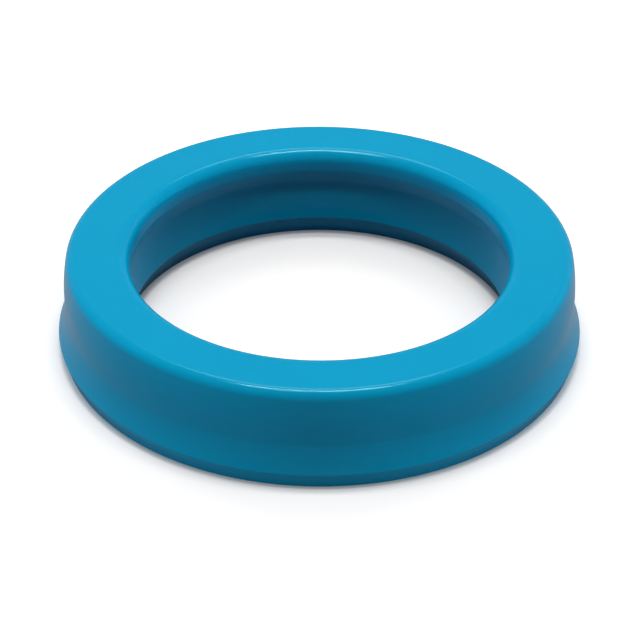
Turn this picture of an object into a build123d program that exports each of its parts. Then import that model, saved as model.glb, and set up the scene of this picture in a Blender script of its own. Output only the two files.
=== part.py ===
import os

from build123d import *

# A polyurethane U-cup seal for a hydraulic rod, standing on its two lips with the heel up.
# The ring's axis is Z and the ends of the lips lie on Z = 0. All sizes are in millimetres.

# The rod that runs in the seal, the radial room around the rod, and the seal's height.
rod_diameter = 45.0
section_width = 7.5
seal_height = 12.0

# Heel, outside: a cylindrical band above the lip is tight in the housing. From the band up to
# the heel face the wall curves in. A squeeze is always on the radius.
band_squeeze = 0.1
band_height = 2.1
outer_crown_radius = 20.0
outer_heel_round = 1.2

# Heel, inside: a narrow cylindrical land near the heel face is tight on the rod. Above it the
# wall curves out, and below it the wall steps back from the rod in a slanted relief.
land_squeeze = 0.2
land_top_depth = 1.7
land_height = 0.9
inner_crown_radius = 3.5
inner_heel_round = 1.5
relief_height = 2.0
relief_depth = 0.7

# Outer lip: a hollow flare from a crease under the band out to the sealing edge, then a bevel.
flare_height = 5.3
outer_lip_squeeze = 1.0
outer_edge_height = 1.95
outer_bevel_width = 0.6
outer_flare_hollow = 0.11

# Inner lip: a hollow flare from the foot of the relief in to the sealing edge, then a bevel.
inner_lip_squeeze = 0.3
inner_edge_height = 2.6
inner_bevel_width = 1.1
inner_flare_hollow = 0.16

# U groove between the lips, open at the bottom, and the flat ends of the lips on either side.
inner_tip_width = 1.3
outer_tip_width = 1.5
tip_round = 0.2
groove_depth = 6.6
groove_root_width = 2.4
groove_root_round = 1.0

rod_radius = rod_diameter / 2
housing_radius = rod_radius + section_width
band_radius = housing_radius + band_squeeze
land_radius = rod_radius - land_squeeze
relief_radius = land_radius + relief_depth
outer_edge_radius = housing_radius + outer_lip_squeeze
inner_edge_radius = rod_radius - inner_lip_squeeze
outer_tip_radius = outer_edge_radius - outer_bevel_width
inner_tip_radius = inner_edge_radius + inner_bevel_width
groove_centre_radius = (relief_radius + band_radius) / 2

band_top_z = flare_height + band_height
land_top_z = seal_height - land_top_depth
land_bottom_z = land_top_z - land_height
relief_bottom_z = land_bottom_z - relief_height

# How far each crown curves in by the time it reaches the heel face.
outer_crown_rise = seal_height - band_top_z
outer_crown_inset = outer_crown_radius - (outer_crown_radius**2 - outer_crown_rise**2) ** 0.5
inner_crown_inset = inner_crown_radius - (inner_crown_radius**2 - land_top_depth**2) ** 0.5

with BuildPart() as u_cup_seal:
    # The section without its groove: up the outside, across the heel face and down the inside.
    with BuildSketch(Plane.XZ) as body_section:
        with BuildLine():
            outer_bevel = Line((outer_tip_radius, 0), (outer_edge_radius, outer_edge_height))
            outer_flare = SagittaArc(outer_bevel @ 1, (band_radius, flare_height), outer_flare_hollow)
            band = Line(outer_flare @ 1, (band_radius, band_top_z))
            outer_crown = TangentArc(
                band @ 1, (band_radius - outer_crown_inset, seal_height), tangent=band % 1
            )
            land = Line((land_radius, land_bottom_z), (land_radius, land_top_z))
            inner_crown = TangentArc(
                land @ 1, (land_radius + inner_crown_inset, seal_height), tangent=land % 1
            )
            Line(outer_crown @ 1, inner_crown @ 1)
            relief = Line(land @ 0, (relief_radius, relief_bottom_z))
            inner_flare = SagittaArc(relief @ 1, (inner_edge_radius, inner_edge_height), inner_flare_hollow)
            inner_bevel = Line(inner_flare @ 1, (inner_tip_radius, 0))
            Line(inner_bevel @ 1, outer_bevel @ 0)
        make_face()
        fillet(body_section.vertices().group_by(Axis.Y)[-1].sort_by(Axis.X)[0], radius=inner_heel_round)
        fillet(body_section.vertices().group_by(Axis.Y)[-1].sort_by(Axis.X)[-1], radius=outer_heel_round)
    revolve(axis=Axis.Z)

    # The groove narrows from its mouth to a rounded root.
    with BuildSketch(Plane.XZ) as groove_section:
        with BuildLine():
            Polyline(
                (inner_tip_radius + inner_tip_width, 0),
                (groove_centre_radius - groove_root_width / 2, groove_depth),
                (groove_centre_radius + groove_root_width / 2, groove_depth),
                (outer_tip_radius - outer_tip_width, 0),
                close=True,
            )
        make_face()
        fillet(groove_section.vertices().group_by(Axis.Y)[-1], radius=groove_root_round)
    revolve(axis=Axis.Z, mode=Mode.SUBTRACT)

    # Small rounds on both sides of each lip's flat end.
    tips = u_cup_seal.faces().filter_by(Plane.XY).group_by(Axis.Z)[0]
    fillet(tips.edges(), radius=tip_round)

u_cup_seal.part.label = "u_cup_seal"

os.makedirs("parts", exist_ok=True)
export_step(u_cup_seal.part, "parts/u_cup_seal.step")
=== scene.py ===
import math

import bmesh
import bpy
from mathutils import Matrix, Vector


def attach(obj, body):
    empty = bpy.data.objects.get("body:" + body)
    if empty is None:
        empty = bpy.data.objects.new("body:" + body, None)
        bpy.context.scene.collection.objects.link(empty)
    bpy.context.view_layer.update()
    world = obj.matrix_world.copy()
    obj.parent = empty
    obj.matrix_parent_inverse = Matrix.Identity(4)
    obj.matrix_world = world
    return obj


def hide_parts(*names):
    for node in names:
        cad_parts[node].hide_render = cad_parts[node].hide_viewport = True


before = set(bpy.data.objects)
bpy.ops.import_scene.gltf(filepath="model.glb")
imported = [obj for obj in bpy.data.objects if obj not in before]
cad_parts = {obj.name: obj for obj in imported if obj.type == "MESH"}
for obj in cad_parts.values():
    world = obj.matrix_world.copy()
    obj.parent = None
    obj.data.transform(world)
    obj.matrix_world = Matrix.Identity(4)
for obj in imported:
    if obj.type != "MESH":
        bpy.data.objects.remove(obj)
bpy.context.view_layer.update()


# The seal: one ring moulded in blue polyurethane, as a rod seal with two lips. It stands on the
# ends of its lips with the heel up, and the U groove between the lips is open underneath. The
# section is drawn in millimetres, as radius and height, and is swung once round the axis.

HEEL_HEIGHT = 12.0
BAND_RADIUS = 30.1
BAND_TOP = 7.4
CREASE_HEIGHT = 5.3
OUTER_EDGE = (31.0, 1.95)
OUTER_LIP_END = 30.4
OUTER_CROWN = 20.0
OUTER_HEEL_ROUND = 1.2
OUTER_FLARE_HOLLOW = 0.11

LAND_RADIUS = 22.3
LAND_TOP = 10.3
LAND_BOTTOM = 9.4
RELIEF_FOOT = (23.0, 7.4)
INNER_EDGE = (22.2, 2.6)
INNER_LIP_END = 23.3
INNER_CROWN = 3.5
INNER_HEEL_ROUND = 1.5
INNER_FLARE_HOLLOW = 0.16

GROOVE_DEPTH = 6.6
GROOVE_MOUTH = (24.6, 28.9)
GROOVE_ROOT = (25.35, 27.75)
GROOVE_ROOT_ROUND = 1.0

LIP_END_ROUND = 0.18
SEALING_EDGE_ROUND = 0.07
CREASE_ROUND = 0.10
RELIEF_FOOT_ROUND = 0.20

STEPS_ROUND_THE_RING = 288
MM = 0.001


def point(section, radius, height):
    """One corner of the section."""
    return section.verts.new((radius, 0, height))


def line(section, start, radius, height):
    """A straight stretch of the section's outline, from start to a new corner."""
    end = point(section, radius, height)
    section.edges.new((start, end))
    return end


def arc(section, start, centre, angle, steps):
    """A round stretch: start is swung about centre, anticlockwise on the drawing for a plus angle."""
    swung = bmesh.ops.spin(
        section, geom=[start], cent=(centre[0], 0, centre[1]), axis=(0, -1, 0), dvec=(0, 0, 0),
        angle=angle, steps=steps, use_merge=False, use_duplicate=False,
    )
    return [item for item in swung["geom_last"] if isinstance(item, bmesh.types.BMVert)][0]


def hollow_flare(section, start, radius, height, hollow, steps):
    """A lip's flank, drawn in towards the groove by the hollow at the middle of its length."""
    foot = Vector((start.co.x, start.co.z))
    chord = Vector((radius, height)) - foot
    reach = chord.length / 2
    bend_radius = (reach**2 + hollow**2) / (2 * hollow)
    aside = Vector((chord.y, -chord.x)).normalized()
    centre = foot + chord / 2 + aside * (bend_radius - hollow)
    return arc(section, start, centre, -2 * math.asin(reach / bend_radius), steps)


ring = bmesh.new()

# Outer lip, band and crown, up to the heel face.
outer_lip_end = point(ring, OUTER_LIP_END, 0)
outer_edge = line(ring, outer_lip_end, *OUTER_EDGE)
crease = hollow_flare(ring, outer_edge, BAND_RADIUS, CREASE_HEIGHT, OUTER_FLARE_HOLLOW, 12)
band_top = line(ring, crease, BAND_RADIUS, BAND_TOP)
crown_rise = HEEL_HEIGHT - OUTER_HEEL_ROUND - BAND_TOP
crown_turn = math.asin(crown_rise / (OUTER_CROWN - OUTER_HEEL_ROUND))
crown_end = arc(ring, band_top, (BAND_RADIUS - OUTER_CROWN, BAND_TOP), crown_turn, 14)
round_centre = (
    BAND_RADIUS - OUTER_CROWN + (OUTER_CROWN - OUTER_HEEL_ROUND) * math.cos(crown_turn),
    HEEL_HEIGHT - OUTER_HEEL_ROUND,
)
heel_outside = arc(ring, crown_end, round_centre, math.pi / 2 - crown_turn, 12)

# Across the heel face, then down the inside: crown, land, relief and inner lip.
inner_rise = HEEL_HEIGHT - INNER_HEEL_ROUND - LAND_TOP
inner_turn = math.asin(inner_rise / (INNER_CROWN - INNER_HEEL_ROUND))
inner_round_centre = (
    LAND_RADIUS + INNER_CROWN - (INNER_CROWN - INNER_HEEL_ROUND) * math.cos(inner_turn),
    HEEL_HEIGHT - INNER_HEEL_ROUND,
)
heel_inside = line(ring, heel_outside, inner_round_centre[0], HEEL_HEIGHT)
inner_crown_end = arc(ring, heel_inside, inner_round_centre, math.pi / 2 - inner_turn, 14)
land_top = arc(ring, inner_crown_end, (LAND_RADIUS + INNER_CROWN, LAND_TOP), inner_turn, 3)
land_bottom = line(ring, land_top, LAND_RADIUS, LAND_BOTTOM)
relief_foot = line(ring, land_bottom, *RELIEF_FOOT)
inner_edge = hollow_flare(ring, relief_foot, *INNER_EDGE, INNER_FLARE_HOLLOW, 14)
inner_lip_end = line(ring, inner_edge, INNER_LIP_END, 0)

# The groove, up from the inner lip's end, over its root, and down to the outer lip's end.
inner_mouth = line(ring, inner_lip_end, GROOVE_MOUTH[0], 0)
inner_root = line(ring, inner_mouth, GROOVE_ROOT[0], GROOVE_DEPTH)
outer_root = line(ring, inner_root, GROOVE_ROOT[1], GROOVE_DEPTH)
outer_mouth = line(ring, outer_root, GROOVE_MOUTH[1], 0)
ring.edges.new((outer_mouth, outer_lip_end))

# The mould leaves each corner with a small round of its own. The last number is its facets.
for corners, size, segments in (
    ([inner_root, outer_root], GROOVE_ROOT_ROUND, 10),
    ([outer_lip_end, inner_lip_end, inner_mouth, outer_mouth], LIP_END_ROUND, 5),
    ([outer_edge, inner_edge], SEALING_EDGE_ROUND, 4),
    ([land_bottom, crease], CREASE_ROUND, 4),
    ([relief_foot], RELIEF_FOOT_ROUND, 5),
):
    bmesh.ops.bevel(
        ring, geom=corners, offset=size, offset_type="OFFSET", segments=segments,
        profile=0.5, affect="VERTICES", material=-1, clamp_overlap=True,
    )

bmesh.ops.spin(
    ring, geom=ring.verts[:] + ring.edges[:], cent=(0, 0, 0), axis=(0, 0, 1), dvec=(0, 0, 0),
    angle=2 * math.pi, steps=STEPS_ROUND_THE_RING, use_merge=True, use_duplicate=False,
)
bmesh.ops.remove_doubles(ring, verts=ring.verts, dist=0.0005)
bmesh.ops.recalc_face_normals(ring, faces=ring.faces)
bmesh.ops.scale(ring, vec=(MM, MM, MM), verts=ring.verts)
for face in ring.faces:
    face.smooth = True

seal_mesh = bpy.data.meshes.new("u_cup_seal_ring")
ring.to_mesh(seal_mesh)
ring.free()
seal = bpy.data.objects.new("moulded_seal", seal_mesh)
bpy.context.scene.collection.objects.link(seal)
flat_faces_stay_flat = seal.modifiers.new("flat_faces_stay_flat", "WEIGHTED_NORMAL")
flat_faces_stay_flat.weight = 50

# Cast polyurethane: an even blue right through, with faint clouding from the pour, a satin skin,
# and the fine lathe lines that the mould's turned faces leave on it.
polyurethane = bpy.data.materials.new("blue_polyurethane")
polyurethane.use_nodes = True
nodes = polyurethane.node_tree.nodes
links = polyurethane.node_tree.links
nodes.clear()

output = nodes.new("ShaderNodeOutputMaterial")
skin = nodes.new("ShaderNodeBsdfPrincipled")
links.new(skin.outputs["BSDF"], output.inputs["Surface"])
skin.inputs["Metallic"].default_value = 0.0
skin.inputs["IOR"].default_value = 1.5
skin.inputs["Specular IOR Level"].default_value = 0.42
skin.inputs["Specular Tint"].default_value = (0.4, 0.95, 1.0, 1.0)
skin.inputs["Subsurface Weight"].default_value = 0.15
skin.inputs["Subsurface Radius"].default_value = (0.3, 1.0, 1.0)
skin.inputs["Subsurface Scale"].default_value = 0.0006

place = nodes.new("ShaderNodeTexCoord")

clouding = nodes.new("ShaderNodeTexNoise")
clouding.inputs["Scale"].default_value = 90.0
clouding.inputs["Detail"].default_value = 3.0
clouding.inputs["Roughness"].default_value = 0.55
links.new(place.outputs["Object"], clouding.inputs["Vector"])

colour = nodes.new("ShaderNodeValToRGB")
colour.color_ramp.elements[0].position = 0.3
colour.color_ramp.elements[0].color = (0.0, 0.404, 0.670, 1)
colour.color_ramp.elements[1].position = 0.7
colour.color_ramp.elements[1].color = (0.0, 0.418, 0.690, 1)
links.new(clouding.outputs["Fac"], colour.inputs["Fac"])
links.new(colour.outputs["Color"], skin.inputs["Base Color"])

# How far a point is from the axis, so that the lathe lines run round the ring.
parts = nodes.new("ShaderNodeSeparateXYZ")
links.new(place.outputs["Object"], parts.inputs["Vector"])
flat = nodes.new("ShaderNodeCombineXYZ")
links.new(parts.outputs["X"], flat.inputs["X"])
links.new(parts.outputs["Y"], flat.inputs["Y"])
radius = nodes.new("ShaderNodeVectorMath")
radius.operation = "LENGTH"
links.new(flat.outputs["Vector"], radius.inputs[0])
turned = nodes.new("ShaderNodeCombineXYZ")
links.new(radius.outputs["Value"], turned.inputs["X"])
links.new(parts.outputs["Z"], turned.inputs["Y"])

lathe_lines = nodes.new("ShaderNodeTexNoise")
lathe_lines.inputs["Scale"].default_value = 5000.0
lathe_lines.inputs["Detail"].default_value = 2.0
links.new(turned.outputs["Vector"], lathe_lines.inputs["Vector"])

grain = nodes.new("ShaderNodeTexNoise")
grain.inputs["Scale"].default_value = 900.0
grain.inputs["Detail"].default_value = 4.0
links.new(place.outputs["Object"], grain.inputs["Vector"])

relief = nodes.new("ShaderNodeMix")
relief.data_type = "FLOAT"
relief.inputs["Factor"].default_value = 0.5
links.new(lathe_lines.outputs["Fac"], relief.inputs["A"])
links.new(grain.outputs["Fac"], relief.inputs["B"])
bump = nodes.new("ShaderNodeBump")
bump.inputs["Strength"].default_value = 0.04
bump.inputs["Distance"].default_value = 0.00003
links.new(relief.outputs["Result"], bump.inputs["Height"])
links.new(bump.outputs["Normal"], skin.inputs["Normal"])

satin = nodes.new("ShaderNodeMapRange")
satin.inputs["From Min"].default_value = 0.3
satin.inputs["From Max"].default_value = 0.7
satin.inputs["To Min"].default_value = 0.13
satin.inputs["To Max"].default_value = 0.17
links.new(grain.outputs["Fac"], satin.inputs["Value"])
links.new(satin.outputs["Result"], skin.inputs["Roughness"])

seal_mesh.materials.append(polyurethane)
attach(seal, "root")
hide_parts("u_cup_seal")


# The table under the seal: a plain white sheet that keeps the seal's soft shadow, plus a painted
# shadow that darkens it close to the seal. The camera sees it white, the seal's gloss sees a dim share
# of it, and its bounce on the seal's walls is low.

TABLE_HALF_WIDTH = 1.5
PAINTED_SHADOW_REACH = 0.014
WHITE_SHARE_IN_THE_GLOSS = 0.2


def seen_white(nodes, links):
    """How white a ray sees the surroundings: all for the camera and clear parts, a share for gloss."""
    ray = nodes.new("ShaderNodeLightPath")
    gloss = nodes.new("ShaderNodeMath")
    gloss.operation = "MULTIPLY"
    gloss.inputs[1].default_value = WHITE_SHARE_IN_THE_GLOSS
    links.new(ray.outputs["Is Glossy Ray"], gloss.inputs[0])
    camera_or_gloss = nodes.new("ShaderNodeMath")
    camera_or_gloss.operation = "MAXIMUM"
    links.new(ray.outputs["Is Camera Ray"], camera_or_gloss.inputs[0])
    links.new(gloss.outputs["Value"], camera_or_gloss.inputs[1])
    white_for = nodes.new("ShaderNodeMath")
    white_for.operation = "MAXIMUM"
    links.new(camera_or_gloss.outputs["Value"], white_for.inputs[0])
    links.new(ray.outputs["Is Transmission Ray"], white_for.inputs[1])
    return white_for


table_plan = bmesh.new()
bmesh.ops.create_grid(table_plan, x_segments=1, y_segments=1, size=TABLE_HALF_WIDTH)
table_mesh = bpy.data.meshes.new("table_top")
table_plan.to_mesh(table_mesh)
table_plan.free()
table_top = bpy.data.objects.new("table_top", table_mesh)
bpy.context.scene.collection.objects.link(table_top)

white_table = bpy.data.materials.new("white_table")
white_table.use_nodes = True
nodes = white_table.node_tree.nodes
links = white_table.node_tree.links
nodes.clear()
output = nodes.new("ShaderNodeOutputMaterial")
seen = seen_white(nodes, links)

# The paper's own shading and an even glow make the white. The glow fades where the seal stands over
# it, which is a painted shadow.
bounce = nodes.new("ShaderNodeBsdfDiffuse")
bounce.inputs["Color"].default_value = (0.14, 0.15, 0.16, 1)
paper = nodes.new("ShaderNodeBsdfDiffuse")
paper.inputs["Color"].default_value = (0.86, 0.825, 0.80, 1)
# Painted shadow: ambient occlusion dims the table's glow within the shadow reach of the seal.
painted_shadow_nearness = nodes.new("ShaderNodeAmbientOcclusion")
painted_shadow_nearness.samples = 8
painted_shadow_nearness.inputs["Distance"].default_value = PAINTED_SHADOW_REACH
painted_shadow_falloff = nodes.new("ShaderNodeMath")
painted_shadow_falloff.operation = "POWER"
painted_shadow_falloff.inputs[1].default_value = 1.1
links.new(painted_shadow_nearness.outputs["AO"], painted_shadow_falloff.inputs[0])
glow_with_painted_shadow = nodes.new("ShaderNodeMath")
glow_with_painted_shadow.operation = "MULTIPLY"
glow_with_painted_shadow.inputs[1].default_value = 0.51
links.new(painted_shadow_falloff.outputs["Value"], glow_with_painted_shadow.inputs[0])
lift_with_painted_shadow = nodes.new("ShaderNodeEmission")
links.new(glow_with_painted_shadow.outputs["Value"], lift_with_painted_shadow.inputs["Strength"])
white = nodes.new("ShaderNodeAddShader")
links.new(paper.outputs["BSDF"], white.inputs[0])
links.new(lift_with_painted_shadow.outputs["Emission"], white.inputs[1])
either = nodes.new("ShaderNodeMixShader")
links.new(seen.outputs["Value"], either.inputs["Fac"])
links.new(bounce.outputs["BSDF"], either.inputs[1])
links.new(white.outputs["Shader"], either.inputs[2])
links.new(either.outputs["Shader"], output.inputs["Surface"])
table_mesh.materials.append(white_table)


# The light: a narrow softbox above the seal that draws the bright line along the heel, one a
# little in front of it and a weaker one behind, low softboxes all round, and the white room.
# The low ones are slightly cool, as light that comes off a far wall is.

LAMP_DISTANCE = 0.5
LAMP_TARGET = Vector((0, 0, 0.006))
LOW_ELEVATION = 30
COOL_LOW_LIGHT = (0.82, 0.91, 1.04)


def softbox(name, azimuth, elevation, width, height, power, shines):
    """A lamp half a metre away, turned to the seal. Azimuth 0 is +X, 90 is behind the seal.

    A lamp that shines shows in the seal's gloss, and the others only fill the shadows.
    """
    across = LAMP_DISTANCE * math.cos(math.radians(elevation))
    place = Vector((
        across * math.cos(math.radians(azimuth)),
        across * math.sin(math.radians(azimuth)),
        LAMP_DISTANCE * math.sin(math.radians(elevation)),
    ))
    lamp = bpy.data.lights.new(name, "AREA")
    lamp.shape = "RECTANGLE"
    lamp.size = width
    lamp.size_y = height
    lamp.energy = power
    if elevation < LOW_ELEVATION:
        lamp.color = COOL_LOW_LIGHT
    stand = bpy.data.objects.new(name, lamp)
    stand.location = place
    stand.rotation_euler = (LAMP_TARGET - place).to_track_quat("-Z", "Y").to_euler()
    stand.visible_camera = False
    stand.visible_glossy = shines
    bpy.context.scene.collection.objects.link(stand)


softbox("overhead_softbox", 90, 84, 0.24, 0.034, 0.90, True)
softbox("high_front", 270, 82, 0.20, 0.03, 0.66, False)
softbox("overhead_behind", 90, 55, 0.20, 0.11, 0.20, True)
softbox("low_right", 0, 8, 0.16, 0.16, 0.64, False)
softbox("low_left", 180, 8, 0.16, 0.16, 0.64, False)
softbox("low_front", 270, 3.5, 0.36, 0.05, 0.37, False)
softbox("behind_right", 45, 20, 0.16, 0.16, 0.64, False)
softbox("behind_left", 135, 20, 0.16, 0.16, 0.64, False)

room = bpy.data.worlds.new("white_room")
bpy.context.scene.world = room
room.use_nodes = True
nodes = room.node_tree.nodes
links = room.node_tree.links
nodes.clear()
output = nodes.new("ShaderNodeOutputWorld")
seen = seen_white(nodes, links)
ambient = nodes.new("ShaderNodeBackground")
ambient.inputs["Strength"].default_value = 0.02
backdrop = nodes.new("ShaderNodeBackground")
backdrop.inputs["Color"].default_value = (1, 1, 1, 1)
backdrop.inputs["Strength"].default_value = 1.0
either = nodes.new("ShaderNodeMixShader")
links.new(seen.outputs["Value"], either.inputs["Fac"])
links.new(ambient.outputs["Background"], either.inputs[1])
links.new(backdrop.outputs["Background"], either.inputs[2])
links.new(either.outputs["Shader"], output.inputs["Surface"])


# The camera stands in front of the seal and looks down on it, at the photograph's angle.

lens = bpy.data.cameras.new("camera")
lens.lens = 140.0
lens.sensor_width = 36.0
lens.clip_start = 0.01
lens.clip_end = 10.0
camera = bpy.data.objects.new("camera", lens)
bpy.context.scene.collection.objects.link(camera)
eye = Vector((0, -0.2475, 0.1665))
look_at = Vector((0.00007, 0, 0.00176))
camera.location = eye
camera.rotation_euler = (look_at - eye).to_track_quat("-Z", "Y").to_euler()
camera.rotation_euler.rotate_axis("Z", math.radians(0.25))
bpy.context.scene.camera = camera

bpy.context.scene.view_settings.view_transform = "Standard"
